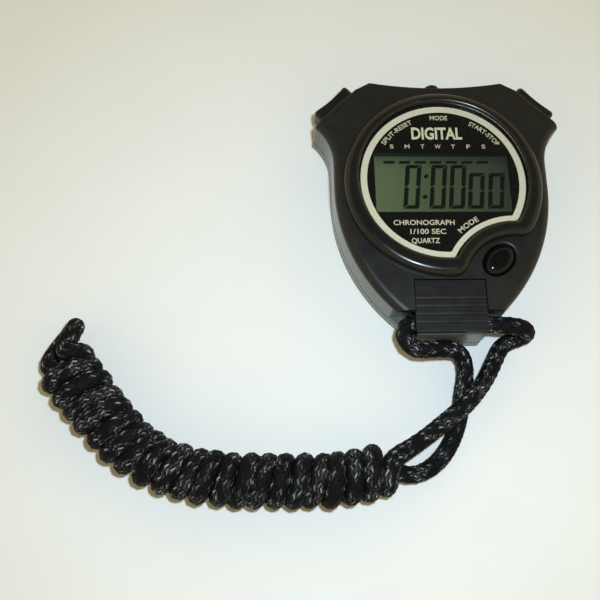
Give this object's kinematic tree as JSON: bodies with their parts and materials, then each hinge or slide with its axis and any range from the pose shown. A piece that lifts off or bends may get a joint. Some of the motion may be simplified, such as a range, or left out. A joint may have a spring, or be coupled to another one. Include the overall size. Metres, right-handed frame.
{
  "type": "digital stopwatch",
  "caption": "Hand-held digital sports stopwatch in a black shield-shaped plastic case, with shoulder push buttons, a segment display and a braided wrist lanyard wrapped into a grip.",
  "frame": {"origin": "on the surface that its back lies on, midway between the case's shoulder tips and 4.7 mm below the middle of the dial", "axes": "+X to the right of the face, +Y towards the top button, +Z out of the face"},
  "size_m": [0.1318, 0.1108, 0.017],
  "materials": {
    "case_black": "satin",
    "clear_window": "clear gloss",
    "dial_black": "screen print",
    "lcd_glass": "clear",
    "polarizer_film": "film",
    "reflector_film": "satin film",
    "white_plastic": "moulded",
    "contact_rubber": "matt",
    "board_green": "solder mask",
    "epoxy_black": "epoxy",
    "can_steel": "drawn can",
    "ceramic_tan": "fired",
    "ceramic_black": "fired",
    "piezo_white": "fired",
    "brass_sheet": "rolled",
    "spring_steel": "nickel plated",
    "cell_steel": "pressed",
    "button_black": "fine satin",
    "oval_black": "high gloss",
    "dome_rubber": "silicone",
    "cover_black": "satin",
    "screw_steel": "zinc plated",
    "cord_black": "braided"
  },
  "bodies": {
    "case": {"front_shell": "case_black", "rear_shell": "case_black", "window_lens": "clear_window", "dial_mask": "dial_black", "lcd_cell": "lcd_glass", "lcd_front_polarizer": "polarizer_film", "lcd_rear_reflector": "reflector_film", "lcd_holder": "white_plastic", "zebra_strip_upper": "contact_rubber", "zebra_strip_lower": "contact_rubber", "circuit_board": "board_green", "chip_blob": "epoxy_black", "quartz_crystal": "can_steel", "chip_capacitors": "ceramic_tan", "chip_resistors": "ceramic_black", "buzzer_plate": "brass_sheet", "buzzer_ceramic": "piezo_white", "buzzer_spring": "spring_steel", "battery_cell": "cell_steel", "battery_top_contact": "spring_steel", "battery_base_contact": "spring_steel", "start_stop_contact": "brass_sheet", "split_reset_contact": "brass_sheet", "top_mode_contact": "brass_sheet", "front_button_dome": "dome_rubber", "case_screws": "screw_steel", "board_screws": "screw_steel", "lanyard_lug_run": "cord_black", "lanyard_left_strand": "cord_black", "lanyard_right_strand": "cord_black", "lanyard_wrap": "cord_black", "lanyard_end_loop": "cord_black"},
    "start_stop": {"start_stop_button": "button_black", "start_stop_clip": "spring_steel"},
    "split_reset": {"split_reset_button": "button_black", "split_reset_clip": "spring_steel"},
    "top_mode": {"top_mode_button": "button_black"},
    "front_mode": {"front_mode_button": "oval_black"},
    "cover": {"strap_cover": "cover_black"}
  },
  "joints": [
    {"name": "start_stop_press", "type": "slide", "parent": "case", "child": "start_stop", "axis": [-0.6954, -0.7187, 0], "range_m": [0, 0.001], "stiffness_N_per_m": 1500, "springref_m": -0.0005},
    {"name": "split_reset_press", "type": "slide", "parent": "case", "child": "split_reset", "axis": [0.6954, -0.7187, 0], "range_m": [0, 0.001], "stiffness_N_per_m": 1500, "springref_m": -0.0005},
    {"name": "top_mode_press", "type": "slide", "parent": "case", "child": "top_mode", "axis": [0, -1, 0], "range_m": [0, 0.0005], "stiffness_N_per_m": 1500, "springref_m": -0.0003},
    {"name": "front_mode_press", "type": "slide", "parent": "case", "child": "front_mode", "axis": [0, 0, -1], "range_m": [0, 0.0008], "stiffness_N_per_m": 1500, "springref_m": -0.0003},
    {"name": "cover_slide", "type": "slide", "parent": "case", "child": "cover", "axis": [0, -1, 0], "range_m": [0, 0.007]}
  ]
}
